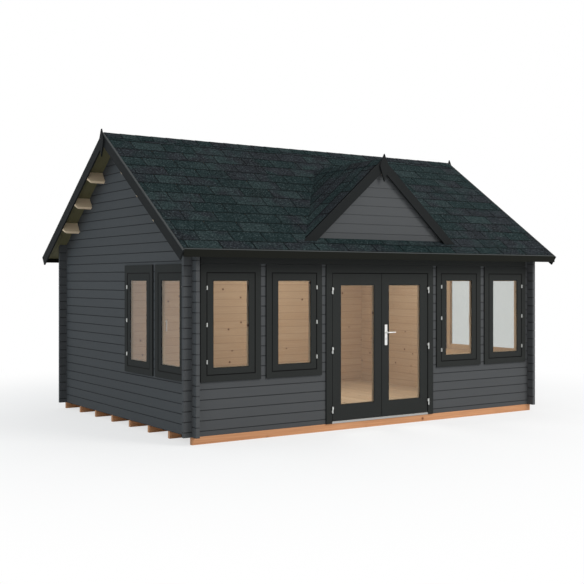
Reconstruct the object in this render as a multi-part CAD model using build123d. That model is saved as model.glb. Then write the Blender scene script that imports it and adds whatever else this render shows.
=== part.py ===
"""Garden log cabin with a double door, eight windows, a gable roof and a small front gable.

Millimetres, +Z up. The origin is on the ground at the centre of the footprint.
The front wall faces -Y and the roof ridge runs along X.
"""
from build123d import *
import math
import os

# Plan and logs
cabin_length = 5500.0
cabin_depth = 4000.0
log_end = 100.0
log_thickness = 45.0
log_height = 114.0
log_chamfer = 6.0

# Floor and its bearers
bearer_width = 45.0
bearer_height = 85.0
bearer_count = 8
bearer_proud = 4.5
floor_thickness = 19.0
floor_gap = 2.0

# Main roof
roof_pitch = 35.0
ridge_height = 3640.0
roof_half_length = 2876.0
roof_half_depth = 2150.0
shingle_thickness = 8.0
deck_thickness = 19.0
board_thickness = 19.0
board_rise = 2.0
barge_depth = 127.0
barge_overrun = 12.0
fascia_depth = 90.0
ridge_cap_width = 125.0
ridge_cap_thickness = 3.0

# Purlins, by their distance from the ridge
purlin_width = 45.0
purlin_depth = 145.0
first_purlin = 592.0
purlin_step = 438.0
purlins_a_side = 3
purlin_bevel = 45.0
purlin_bevel_run = 75.0

# Front gable on the roof
dormer_pitch = 41.2
dormer_ridge_height = 3312.0
dormer_front = -1955.0
dormer_barge_depth = 114.0
dormer_first_joint = 2379.0

# Finials
finial_height = 346.0
finial_width = 140.0
finial_thickness = 18.0
finial_shoulder = 0.44
finial_above_ridge = 48.0
dormer_finial_above_ridge = 62.0

# Windows, each with a frame that clasps the logs
window_width = 782.0
window_height = 1310.0
window_bottom = 680.0
window_trim_side = 77.0
window_trim_top = 97.0
window_trim_bottom = 75.0
window_stile = 84.0
window_top_rail = 88.0
window_bottom_rail = 77.0
window_from_corner = 100.0
window_gap = 74.0
frame_cover = 41.0
frame_top_cover = 24.0
frame_stop = 12.0
trim_proud = 18.0
sash_recess = 2.0
sash_thickness = 50.0
sash_clearance = 3.0
pane_thickness = 14.0
pane_setback = 5.0
pane_edge = 8.0

# Double door
door_half_width = 848.0
door_clear_half = 762.0
door_frame_top = 1993.0
door_head_bottom = 1897.0
door_log_half = 812.0
door_log_top = 1966.0
door_stop = 20.0
door_frame_joint = 0.5
leaf_bottom = 115.0
leaf_top = 1892.0
leaf_side_gap = 5.0
leaf_meeting_gap = 8.0
leaf_thickness = 50.0
leaf_proud = 12.0
leaf_meeting_stile = 113.0
leaf_hinge_stile = 129.0
leaf_glass_bottom = 303.0
leaf_glass_top = 1749.0
threshold_height = 25.0
threshold_nose = 3.0
threshold_chamfer = 6.0

# Door hinges, each a barrel in two halves over a pin
hinge_heights = (250.0, 965.0, 1682.0)
hinge_radius = 8.0
hinge_height = 80.0
hinge_sides = 12
hinge_pin_radius = 4.0
hinge_pin_gap = 0.5
hinge_split_gap = 1.0
hinge_wall_gap = 1.0
hinge_wing = 11.0
hinge_wing_gap = 5.0
hinge_wing_inset = 6.0

# Door handle
handle_x = 65.0
handle_plate_bottom = 999.0
handle_plate_height = 256.0
handle_plate_width = 40.0
handle_plate_thickness = 8.0
handle_plate_corner = 8.0
lever_height = 1158.0
lever_radius = 8.0
lever_reach = 52.0
lever_length = 120.0
lever_hole_gap = 1.0
lever_bore_gap = 3.0

# Derived places
half_length = cabin_length / 2 - log_end
half_depth = cabin_depth / 2 - log_end
log_base = bearer_height
slope = math.tan(math.radians(roof_pitch))
roof_cos = math.cos(math.radians(roof_pitch))
roof_sin = math.sin(math.radians(roof_pitch))
dormer_slope = math.tan(math.radians(dormer_pitch))
dormer_cos = math.cos(math.radians(dormer_pitch))
deck_top_drop = shingle_thickness / roof_cos
deck_under_drop = (shingle_thickness + deck_thickness) / roof_cos
front_face = -half_depth
hinge_y = front_face - trim_proud - hinge_radius - hinge_wall_gap
leaf_front = front_face - leaf_proud
leaf_back = leaf_front + leaf_thickness
leaf_pane_front = leaf_front + pane_setback

# How far a cutting shape runs past what it cuts, and half the gap at a mitre
beyond = 200.0
mitre = 0.5

os.makedirs("parts", exist_ok=True)


def box(x0, x1, y0, y1, z0, z1):
    """A box between two corners."""
    centre = Location(((x0 + x1) / 2, (y0 + y1) / 2, (z0 + z1) / 2))
    return centre * Box(abs(x1 - x0), abs(y1 - y0), abs(z1 - z0))


def prism_x(points, x0, x1):
    """A solid with a (y, z) outline, running from x0 to x1."""
    face = make_face(Polyline(*[(x0, y, z) for y, z in points], close=True))
    return extrude(face, amount=x1 - x0, dir=(1, 0, 0))


def prism_y(points, y0, y1):
    """A solid with an (x, z) outline, running from y0 to y1."""
    face = make_face(Polyline(*[(x, y0, z) for x, z in points], close=True))
    return extrude(face, amount=y1 - y0, dir=(0, 1, 0))


def save(name, *solids):
    """Write one named piece, which may be several separate solids."""
    shape = solids[0] if len(solids) == 1 else Compound(children=list(solids))
    shape.label = name
    export_step(shape, f"parts/{name}.step")


def log_outline(centre, bottom, top, first_joint):
    """Section of stacked logs: a slab whose two faces have a V groove at each joint."""
    outer = centre - log_thickness / 2
    inner = centre + log_thickness / 2
    left = [(outer, bottom)]
    right = [(inner, bottom)]
    joint = first_joint
    while joint < top - log_chamfer:
        for rise, dip in ((-log_chamfer, 0.0), (0.0, log_chamfer), (log_chamfer, 0.0)):
            left.append((outer + dip, joint + rise))
            right.append((inner - dip, joint + rise))
        joint += log_height
    left.append((outer, top))
    right.append((inner, top))
    return left + right[::-1]


def roof_above(drop):
    """Everything above a plane pair that lies below the shingles by a height drop."""
    reach = roof_half_depth + beyond
    eave = ridge_height - drop - slope * reach
    far = ridge_height + beyond
    outline = [(-reach, eave), (0.0, ridge_height - drop), (reach, eave), (reach, far), (-reach, far)]
    return prism_x(outline, -cabin_length, cabin_length)


def below_main_roof():
    """Everything under the front slope of the shingles."""
    reach = roof_half_depth + beyond
    low = ridge_height - slope * reach
    outline = [(-reach, 0.0), (-reach, low), (0.0, ridge_height), (0.0, 0.0)]
    return prism_x(outline, -cabin_length, cabin_length)


def corner_blocks(first_middle):
    """The parts of two facing walls' logs that fill the four corner joints.

    Each log keeps the middle half of its height where it crosses. The logs of the
    two pairs of walls lie half a course apart, so they pass through each other in turn.
    """
    half = log_thickness / 2
    quarter = log_height / 4
    blocks = []
    middle = first_middle
    while middle < ridge_height:
        low = max(middle - quarter, log_base)
        for side_x in (-1, 1):
            for side_y in (-1, 1):
                x = side_x * (half_length - half)
                y = side_y * (half_depth - half)
                blocks.append(box(x - half, x + half, y - half, y + half, low, middle + quarter))
        middle += log_height
    return blocks


above_deck_underside = roof_above(deck_under_drop)
front_blocks = corner_blocks(log_base)
side_blocks = corner_blocks(log_base + log_height / 2)


def ridge_purlin():
    """The purlin under the ridge, its top cut to both slopes."""
    half = purlin_width / 2
    peak = ridge_height - deck_under_drop
    outline = [
        (-half, peak - purlin_depth),
        (half, peak - purlin_depth),
        (half, peak - slope * half),
        (0.0, peak),
        (-half, peak - slope * half),
    ]
    return prism_x(outline, -roof_half_length, roof_half_length)


def slope_purlin(row, side):
    """A purlin square to one slope, its top against the deck and its lower ends bevelled."""
    half = purlin_width / 2
    corners = []
    for along, inward in ((-half, 0.0), (half, 0.0), (half, purlin_depth), (-half, purlin_depth)):
        y = side * (row + along * roof_cos - inward * roof_sin)
        z = ridge_height - deck_under_drop - slope * row - along * roof_sin - inward * roof_cos
        corners.append((y, z))
    solid = prism_x(corners, -roof_half_length, roof_half_length)
    foot_y = (corners[2][0] + corners[3][0]) / 2
    foot_z = min(corners[2][1], corners[3][1])
    past = purlin_bevel_run - purlin_bevel
    cutters = []
    for end in (-1, 1):
        inner_x = end * (roof_half_length - purlin_bevel)
        outer_x = end * (roof_half_length + past)
        rise = purlin_bevel_run
        tip = [(inner_x, foot_z), (outer_x, foot_z), (outer_x, foot_z + rise)]
        under = [(inner_x, foot_z), (outer_x, foot_z), (outer_x, foot_z - past), (inner_x, foot_z - past)]
        for outline in (tip, under):
            cutters.append(prism_y(outline, foot_y - purlin_depth, foot_y + purlin_depth))
    return solid - cutters


purlins = [ridge_purlin()]
for step in range(purlins_a_side):
    for side in (-1, 1):
        purlins.append(slope_purlin(first_purlin + step * purlin_step, side))

# Window centres along each wall, measured from the middle of the wall
outer_window = half_length - window_from_corner - window_width / 2
inner_window = outer_window - window_width - window_gap
front_left_windows = (-outer_window, -inner_window)
front_right_windows = (inner_window, outer_window)
side_outer_window = -(half_depth - window_from_corner - window_width / 2)
side_windows = (side_outer_window, side_outer_window + window_width + window_gap)
opening_half = window_width / 2 - frame_cover
opening_bottom = window_bottom + frame_cover
opening_top = window_bottom + window_height - frame_top_cover


def front_window_holes(centres):
    """Boxes that open the front logs for windows."""
    y0 = front_face - beyond
    y1 = front_face + beyond
    return [
        box(c - opening_half, c + opening_half, y0, y1, opening_bottom, opening_top)
        for c in centres
    ]


def side_window_holes(side):
    """Boxes that open a side wall for its two windows."""
    x0 = side * (half_length + beyond)
    x1 = side * (half_length - beyond)
    return [
        box(x0, x1, c - opening_half, c + opening_half, opening_bottom, opening_top)
        for c in side_windows
    ]


def front_or_back_wall(side):
    """A full wall along X: logs with chamfered joints, flush on the room side, and notched ends."""
    centre = side * (half_depth - log_thickness / 2)
    outline = log_outline(centre, log_base, ridge_height, log_base + log_height / 2)
    wall = prism_x(outline, -cabin_length / 2, cabin_length / 2)
    room_face = side * (half_depth - log_thickness)
    room_end = half_length - log_thickness
    flush = box(-room_end, room_end, room_face, room_face + side * log_chamfer, log_base, ridge_height)
    return wall + flush - side_blocks - above_deck_underside


def side_wall(side):
    """A side wall along Y, carried up as the gable, with notches for the purlins."""
    centre = side * (half_length - log_thickness / 2)
    outline = log_outline(centre, log_base, ridge_height, log_base + log_height)
    wall = prism_y(outline, -cabin_depth / 2, cabin_depth / 2)
    room_face = side * (half_length - log_thickness)
    room_end = half_depth - log_thickness
    flush = box(room_face, room_face + side * log_chamfer, -room_end, room_end, log_base, ridge_height)
    wall = wall + flush - front_blocks - above_deck_underside
    return wall - side_window_holes(side) - purlins


def walls():
    """The four log walls. The front is split beside and over the doorway."""
    front = front_or_back_wall(-1)
    y0 = front_face - beyond
    y1 = front_face + beyond
    top = front - box(-cabin_length, cabin_length, y0, y1, 0, door_log_top)
    left_zone = box(-cabin_length, -door_log_half, y0, y1, 0, door_log_top)
    right_zone = box(door_log_half, cabin_length, y0, y1, 0, door_log_top)
    save("front_wall_left", (front & left_zone) - front_window_holes(front_left_windows))
    save("front_wall_right", (front & right_zone) - front_window_holes(front_right_windows))
    save("front_wall_top", top)
    save("back_wall", front_or_back_wall(1))
    save("left_wall", side_wall(-1))
    save("right_wall", side_wall(1))


def floor():
    """Bearers along X and the boarded floor inside the walls."""
    half = bearer_width / 2
    first = -(half_depth + bearer_proud - half)
    step = -2 * first / (bearer_count - 1)
    bearers = []
    for i in range(bearer_count):
        y = first + i * step
        bearers.append(box(-half_length, half_length, y - half, y + half, 0, bearer_height))
    save("floor_bearers", *bearers)
    fx = half_length - log_thickness - floor_gap
    fy = half_depth - log_thickness - floor_gap
    save("floor_boards", box(-fx, fx, -fy, fy, log_base, log_base + floor_thickness))


def slope_band(side, apex, pitch_slope, upper_drop, lower_drop, reach):
    """Outline of a layer of one slope, plumb-cut at the ridge and at its foot."""
    near = side * mitre
    far = side * reach
    near_z = apex - pitch_slope * mitre
    far_z = apex - pitch_slope * reach
    return [
        (near, near_z - upper_drop),
        (far, far_z - upper_drop),
        (far, far_z - lower_drop),
        (near, near_z - lower_drop),
    ]


def main_barge_outline(side):
    """Outline of a main barge board with a mitred top and a square-cut foot."""
    top = ridge_height + board_rise
    reach = roof_half_depth + barge_overrun
    foot_z = top - slope * reach
    near = side * mitre
    near_z = top - slope * mitre
    return [
        (near, near_z),
        (side * reach, foot_z),
        (side * (reach - barge_depth * roof_sin), foot_z - barge_depth * roof_cos),
        (near, near_z - barge_depth / roof_cos),
    ]


def roof():
    """Purlins, deck, shingles, fascia and barge boards of the main roof."""
    save("purlins", *purlins)
    inner_eave = roof_half_depth - board_thickness
    fascia_top = ridge_height - slope * inner_eave
    for side, name in ((-1, "front"), (1, "back")):
        deck = slope_band(side, ridge_height, slope, deck_top_drop, deck_under_drop, inner_eave)
        save(f"{name}_roof_deck", prism_x(deck, -roof_half_length, roof_half_length))
        cover = slope_band(side, ridge_height, slope, 0.0, deck_top_drop, inner_eave)
        save(f"{name}_shingles", prism_x(cover, -roof_half_length, roof_half_length))
        y0 = side * inner_eave
        y1 = side * roof_half_depth
        fascia = box(-roof_half_length, roof_half_length, y0, y1, fascia_top - fascia_depth, fascia_top)
        save(f"{name}_fascia", fascia)
    for end, name in ((-1, "left"), (1, "right")):
        x0 = end * roof_half_length
        x1 = x0 + end * board_thickness
        save(f"{name}_barge_boards", *[prism_x(main_barge_outline(side), x0, x1) for side in (-1, 1)])


def cap_outline(apex, pitch_slope, pitch_cos):
    """A folded ridge strip that lies on both slopes."""
    half = ridge_cap_width * pitch_cos
    rise = ridge_cap_thickness / pitch_cos
    drop = pitch_slope * half
    return [
        (-half, apex - drop),
        (0.0, apex),
        (half, apex - drop),
        (half, apex - drop + rise),
        (0.0, apex + rise),
        (-half, apex - drop + rise),
    ]


def ridge_caps():
    """Folded caps on the main ridge and on the ridge of the front gable."""
    main = prism_x(cap_outline(ridge_height, slope, roof_cos), -roof_half_length, roof_half_length)
    back = -(ridge_height - dormer_ridge_height) / slope
    front = dormer_front + board_thickness
    small = prism_y(cap_outline(dormer_ridge_height, dormer_slope, dormer_cos), front, back)
    save("ridge_caps", main, small - below_main_roof())


def dormer():
    """The small front gable: log wall, its two slopes and its barge boards."""
    under = below_main_roof()
    back_face = dormer_front + board_thickness
    shingle_drop = shingle_thickness / dormer_cos
    deck_drop = (shingle_thickness + deck_thickness) / dormer_cos
    wall_foot = ridge_height + slope * front_face
    reach = (dormer_ridge_height - wall_foot) / dormer_slope + beyond
    for name, upper, lower in (("shingles", 0.0, shingle_drop), ("deck", shingle_drop, deck_drop)):
        solids = []
        for side in (-1, 1):
            outline = slope_band(side, dormer_ridge_height, dormer_slope, upper, lower, reach)
            solids.append(prism_y(outline, back_face, 0.0) - under)
        save(f"dormer_{name}", *solids)
    bottom = wall_foot - log_height
    peak = dormer_ridge_height - deck_drop
    outline = log_outline(front_face + log_thickness / 2, bottom, dormer_ridge_height, dormer_first_joint)
    half_base = (peak - bottom) / dormer_slope
    gable = [(-half_base, bottom), (half_base, bottom), (0.0, peak)]
    wall = prism_x(outline, -reach, reach) & prism_y(gable, front_face - beyond, front_face + beyond)
    save("dormer_wall", wall - under)
    barge_top = dormer_ridge_height + board_rise
    barge_drop = dormer_barge_depth / dormer_cos
    boards = []
    for side in (-1, 1):
        outline = slope_band(side, barge_top, dormer_slope, 0.0, barge_drop, reach)
        boards.append(prism_y(outline, dormer_front, back_face) - under)
    save("dormer_barge_boards", *boards)


def kite(top):
    """Outline of a finial, pointed at both ends, as (across, height) pairs."""
    shoulder = top - finial_height * finial_shoulder
    half = finial_width / 2
    return [(0.0, top), (half, shoulder), (0.0, top - finial_height), (-half, shoulder)]


def finials():
    """Three pointed boards over the joints of the barge boards."""
    outline = kite(ridge_height + finial_above_ridge)
    face = roof_half_length + board_thickness
    left = prism_x(outline, -face - finial_thickness, -face)
    right = prism_x(outline, face, face + finial_thickness)
    small = kite(dormer_ridge_height + dormer_finial_above_ridge)
    save("finials", left, right, prism_y(small, dormer_front - finial_thickness, dormer_front))


def window_parts():
    """Frame, sash and pane of one window, at x = 0 in a wall whose outer face is y = 0."""
    half = window_width / 2
    top = window_bottom + window_height
    room_face = log_thickness + trim_proud
    clear = half - window_trim_side
    clear_bottom = window_bottom + window_trim_bottom
    clear_top = top - window_trim_top
    outer_trim = box(-half, half, -trim_proud, 0, window_bottom, top)
    inner_trim = box(-half, half, log_thickness, room_face, window_bottom, top)
    lining = box(-opening_half, opening_half, 0, log_thickness, opening_bottom, opening_top)
    hole = box(-clear, clear, -beyond, beyond, clear_bottom, clear_top)
    sash_front = sash_recess - trim_proud
    sash_back = sash_front + sash_thickness
    stop = box(-clear, clear, sash_back, room_face, clear_bottom, clear_top)
    stop_half = clear - frame_stop
    stop_hole = box(-stop_half, stop_half, 0, beyond, clear_bottom + frame_stop, clear_top - frame_stop)
    frame = (outer_trim + inner_trim + lining - hole) + (stop - stop_hole)
    edge = clear - sash_clearance
    glass = clear - window_stile
    glass_bottom = clear_bottom + window_bottom_rail
    glass_top = clear_top - window_top_rail
    sash = box(-edge, edge, sash_front, sash_back, clear_bottom + sash_clearance, clear_top - sash_clearance)
    sash = sash - box(-glass, glass, -beyond, beyond, glass_bottom, glass_top)
    pane_front = sash_front + pane_setback
    pane = box(
        -glass - pane_edge,
        glass + pane_edge,
        pane_front,
        pane_front + pane_thickness,
        glass_bottom - pane_edge,
        glass_top + pane_edge,
    )
    return frame, sash - pane, pane


def windows():
    """Eight windows: two pairs in the front wall and a pair in each side wall."""
    groups = (
        ("front_left", [Location((c, -half_depth, 0)) for c in front_left_windows]),
        ("front_right", [Location((c, -half_depth, 0)) for c in front_right_windows]),
        ("left_side", [Location((-half_length, c, 0), (0, 0, -90)) for c in side_windows]),
        ("right_side", [Location((half_length, c, 0), (0, 0, 90)) for c in side_windows]),
    )
    frame, sash, pane = window_parts()
    for name, places in groups:
        save(f"{name}_window_frames", *[place * frame for place in places])
        save(f"{name}_window_sashes", *[place * sash for place in places])
        save(f"{name}_window_panes", *[place * pane for place in places])


def door_frame():
    """Two jambs and a head that clasp the logs, and the metal threshold."""
    y_out = front_face - trim_proud
    y_log = front_face + log_thickness
    y_in = y_log + trim_proud
    stop_y = leaf_back + leaf_side_gap
    jamb_top = door_head_bottom - door_frame_joint
    past = door_half_width + beyond
    floor_zone = box(-half_length, half_length, y_log, 0, 0, log_base + floor_thickness)
    pieces = []
    for side in (-1, 1):
        clear = side * door_clear_half
        jamb = box(clear, side * door_half_width, y_out, y_in, log_base, jamb_top)
        groove = box(side * door_log_half, side * past, front_face, y_log, 0, jamb_top + beyond)
        stop_x = side * (door_clear_half - door_stop)
        stop = box(stop_x, clear, stop_y, y_in, log_base + threshold_height, jamb_top)
        pieces.append(jamb - groove - floor_zone + stop)
    head = box(-door_half_width, door_half_width, y_out, y_in, door_head_bottom, door_frame_top)
    head = head - box(-past, past, front_face, y_log, door_log_top, door_log_top + beyond)
    for side in (-1, 1):
        head = head - box(side * door_log_half, side * past, front_face, y_log, 0, door_log_top + beyond)
    stop_half = door_clear_half - door_stop
    head_stop = box(-stop_half, stop_half, stop_y, y_in, door_head_bottom - door_stop, door_head_bottom)
    save("door_frame", *pieces, head + head_stop)
    threshold_top = log_base + threshold_height
    sill = box(-door_clear_half, door_clear_half, leaf_front - threshold_nose, y_log, log_base, threshold_top)
    long_edges = sill.edges().filter_by(Axis.X).sort_by(Axis.Z)
    save("door_threshold", chamfer(long_edges[-2:], threshold_chamfer))


def door_leaf(side):
    """One glazed leaf and its pane. side is -1 for the left leaf, 1 for the right."""
    meet = side * leaf_meeting_gap / 2
    edge = side * (door_clear_half - leaf_side_gap)
    glass_near = meet + side * leaf_meeting_stile
    glass_far = edge - side * leaf_hinge_stile
    leaf = box(meet, edge, leaf_front, leaf_back, leaf_bottom, leaf_top)
    y0 = leaf_front - beyond
    y1 = leaf_back + beyond
    leaf = leaf - box(glass_near, glass_far, y0, y1, leaf_glass_bottom, leaf_glass_top)
    pane = box(
        glass_near - side * pane_edge,
        glass_far + side * pane_edge,
        leaf_pane_front,
        leaf_pane_front + pane_thickness,
        leaf_glass_bottom - pane_edge,
        leaf_glass_top + pane_edge,
    )
    leaf = leaf - pane
    if side > 0:
        bore = RegularPolygon(lever_radius + lever_bore_gap, hinge_sides)
        leaf = leaf - cross_bar(bore, y0, y1)
    return leaf, pane


def cross_bar(section, y0, y1):
    """A bar along Y at the lever's place."""
    return extrude(Plane(origin=(handle_x, y0, lever_height), z_dir=(0, 1, 0)) * section, amount=y1 - y0)


def upright_bar(x, radius, low, high):
    """An upright hinge bar on the hinge line, round enough with few sides."""
    return extrude(Pos(x, hinge_y, low) * RegularPolygon(radius, hinge_sides), amount=high - low)


def hinge_lower(side, z):
    """Frame half of a lift-off hinge: a barrel with its pin, and a wing on the jamb."""
    x = side * door_clear_half
    low = z - hinge_height / 2
    barrel = upright_bar(x, hinge_radius, low, z - hinge_split_gap / 2)
    pin = upright_bar(x, hinge_pin_radius, low, z + hinge_height / 2 - hinge_wing_inset)
    jamb_face = front_face - trim_proud
    low_wing = low + hinge_wing_inset
    wing = box(x, x + side * hinge_wing, hinge_y, jamb_face, low_wing, z - hinge_wing_inset)
    return barrel + pin + wing


def hinge_upper(side, z):
    """Leaf half of a lift-off hinge: a barrel bored for the pin, and a wing on the leaf."""
    x = side * door_clear_half
    top = z + hinge_height / 2
    barrel = upright_bar(x, hinge_radius, z + hinge_split_gap / 2, top)
    near = x - side * hinge_wing_gap
    far = near - side * hinge_wing
    wing = box(near, far, hinge_y, leaf_front, z + hinge_wing_inset, top - hinge_wing_inset)
    bore = upright_bar(x, hinge_pin_radius + hinge_pin_gap, z, top - hinge_wing_inset + hinge_split_gap)
    return barrel + wing - bore


def handle_plate(y0, y1):
    """A long backplate with rounded corners and a hole for the lever neck."""
    plate = RectangleRounded(handle_plate_width, handle_plate_height, handle_plate_corner)
    centre = Location((handle_x, y0, handle_plate_bottom + handle_plate_height / 2), (90, 0, 0))
    solid = extrude(centre * plate, amount=y1 - y0, dir=(0, 1, 0))
    hole = RegularPolygon(lever_radius + lever_hole_gap, hinge_sides)
    return solid - cross_bar(hole, y0 - beyond, y1 + beyond)


def lever():
    """One bent round bar: outer grip, neck through the leaf, inner grip."""
    out = leaf_front - lever_reach
    inn = leaf_back + lever_reach
    grip_end = handle_x + lever_length
    path = Polyline(
        (grip_end, out, lever_height),
        (handle_x, out, lever_height),
        (handle_x, inn, lever_height),
        (grip_end, inn, lever_height),
    )
    section = Plane(origin=(grip_end, out, lever_height), z_dir=(-1, 0, 0)) * Circle(lever_radius)
    return sweep(section, path=path, transition=Transition.RIGHT)


def doors():
    """Both leaves with panes, hinges, handle plates and the lever."""
    for side, name in ((-1, "left"), (1, "right")):
        leaf, pane = door_leaf(side)
        save(f"{name}_door_leaf", leaf)
        save(f"{name}_door_pane", pane)
        save(f"{name}_door_hinges", *[hinge_upper(side, z) for z in hinge_heights])
    save("door_hinge_pins", *[hinge_lower(side, z) for side in (-1, 1) for z in hinge_heights])
    outer = handle_plate(leaf_front - handle_plate_thickness, leaf_front)
    inner = handle_plate(leaf_back, leaf_back + handle_plate_thickness)
    save("door_handle_plates", outer, inner)
    save("door_lever", lever())


floor()
walls()
roof()
ridge_caps()
dormer()
finials()
windows()
door_frame()
doors()
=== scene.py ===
"""Finishes and small parts of the garden log cabin, and the plain studio around it."""
import math
import random

import bmesh
import bpy
from mathutils import Matrix, Vector


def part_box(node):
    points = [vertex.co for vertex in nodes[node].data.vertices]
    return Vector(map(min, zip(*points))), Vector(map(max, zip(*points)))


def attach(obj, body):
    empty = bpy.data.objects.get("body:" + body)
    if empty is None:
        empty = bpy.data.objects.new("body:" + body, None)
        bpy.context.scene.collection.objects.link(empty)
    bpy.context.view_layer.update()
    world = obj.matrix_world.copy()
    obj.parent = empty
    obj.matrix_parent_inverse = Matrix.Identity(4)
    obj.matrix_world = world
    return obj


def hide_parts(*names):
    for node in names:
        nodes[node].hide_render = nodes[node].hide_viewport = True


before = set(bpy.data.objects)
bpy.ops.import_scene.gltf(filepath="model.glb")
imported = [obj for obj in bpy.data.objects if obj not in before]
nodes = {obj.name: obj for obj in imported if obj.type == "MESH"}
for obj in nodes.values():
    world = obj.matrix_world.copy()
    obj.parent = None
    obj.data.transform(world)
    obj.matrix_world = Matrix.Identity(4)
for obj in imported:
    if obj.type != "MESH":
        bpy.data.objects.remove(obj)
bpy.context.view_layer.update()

bl_info = {
    "name": "Garden log cabin",
    "version": (1, 0, 0),
    "blender": (4, 5, 0),
    "location": "View3D > Sidebar > Cabin",
    "description": "Paints, boards, shingles, glass and fittings of a garden log cabin",
    "category": "Object",
}

# Sizes shared with the part's source, in metres and radians
quarter_turn = math.radians(90.0)
roof_pitch = math.radians(35.0)
dormer_pitch = math.radians(41.2)
half_mitre = 0.0005
shingle_thickness = 0.008
deck_thickness = 0.019
log_height = 0.114
log_thickness = 0.045
dormer_first_joint = 2.379
window_spacing = 0.856

# One window seen in its own frame: x across, y inwards from the wall's face, z up
sash_half, sash_bottom, sash_top = 0.3125, 0.7565, 1.8915
glass_half, glass_bottom, glass_top = 0.23, 0.832, 1.805
frame_front, sash_back = -0.018, 0.034
pane_front, pane_thickness = -0.011, 0.014
window_hinge_heights = (0.903, 1.314, 1.723)
window_handle_height = 1.33
upright = Matrix.Rotation(quarter_turn, 4, "X")

# Verts closer than this are one
merge_distance = 1e-6

# Places read from the frame, in metres
roof_low, roof_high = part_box("front_shingles")
roof_half_length = roof_high.x
roof_span = (-roof_half_length, roof_half_length)
eave_y = -roof_low.y
slope_length = eave_y / math.cos(roof_pitch)
ridge_z = roof_high.z + math.tan(roof_pitch) * half_mitre
fascia_low, fascia_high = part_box("front_fascia")
barge_low, barge_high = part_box("right_barge_boards")
dormer_low, dormer_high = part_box("dormer_shingles")
floor_low, floor_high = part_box("floor_boards")
left_wall_low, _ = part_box("left_wall")
wall_face_x, log_base = left_wall_low.x, left_wall_low.z
wall_face_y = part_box("front_wall_left")[0].y
lever_low, lever_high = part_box("door_lever")
lever_z = (lever_low.z + lever_high.z) / 2
plates_low, plates_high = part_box("door_handle_plates")

# Each pair of windows: the axis its wall runs along, the wall's face, its turn, the way hinges go
window_walls = {
    "front_left": (0, wall_face_y, 0.0, 1),
    "front_right": (0, wall_face_y, 0.0, 1),
    "left_side": (1, wall_face_x, -quarter_turn, -1),
    "right_side": (1, -wall_face_x, quarter_turn, 1),
}


class Field:
    """A socket that varies over a surface, with arithmetic that adds Math nodes."""

    def __init__(self, owner, socket):
        self.owner = owner
        self.socket = socket

    def math(self, operation, *values):
        """One Math node on one or two values."""
        inputs = dict(enumerate(values))
        return self.owner.node("ShaderNodeMath", {"operation": operation}, inputs)

    def output(self, name):
        """Another output of the node that this value comes from."""
        return Field(self.owner, self.socket.node.outputs[name])

    def __add__(self, other):
        return self.math("ADD", self, other)

    def __radd__(self, other):
        return self.math("ADD", other, self)

    def __sub__(self, other):
        return self.math("SUBTRACT", self, other)

    def __rsub__(self, other):
        return self.math("SUBTRACT", other, self)

    def __mul__(self, other):
        return self.math("MULTIPLY", self, other)

    def __rmul__(self, other):
        return self.math("MULTIPLY", other, self)

    def __truediv__(self, other):
        return self.math("DIVIDE", self, other)

    def __lt__(self, other):
        return self.math("LESS_THAN", self, other)

    def __or__(self, other):
        return self.math("MAXIMUM", self, other)

    def __abs__(self):
        return self.math("ABSOLUTE", self)

    def floor(self):
        """The whole part of the value."""
        return self.math("FLOOR", self)

    def ramp(self, low, high):
        """0 below low, 1 above high and smooth between."""
        return self.owner.node(
            "ShaderNodeMapRange",
            {"interpolation_type": "SMOOTHSTEP", "clamp": True},
            {"Value": self, "From Min": low, "From Max": high},
        )


class Nodes:
    """A node tree that is being filled."""

    def __init__(self, tree):
        self.tree = tree

    def node(self, kind, settings=None, inputs=None, output=0):
        """Add a node: its settings first, then the values or links of its sockets."""
        node = self.tree.nodes.new(kind)
        for key, value in (settings or {}).items():
            setattr(node, key, value)
        for key, value in (inputs or {}).items():
            if isinstance(value, Field):
                self.join(value, node.inputs[key])
            else:
                node.inputs[key].default_value = value
        return Field(self, node.outputs[output]) if node.outputs else node

    def join(self, value, socket):
        """Link a value to a socket."""
        self.tree.links.new(value.socket, socket)

    def seen(self):
        """1 for rays that show a thing to the eye, straight, mirrored or through glass."""
        path = self.node("ShaderNodeLightPath", output="Is Camera Ray")
        return path | path.output("Is Glossy Ray") | path.output("Is Transmission Ray")


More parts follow.
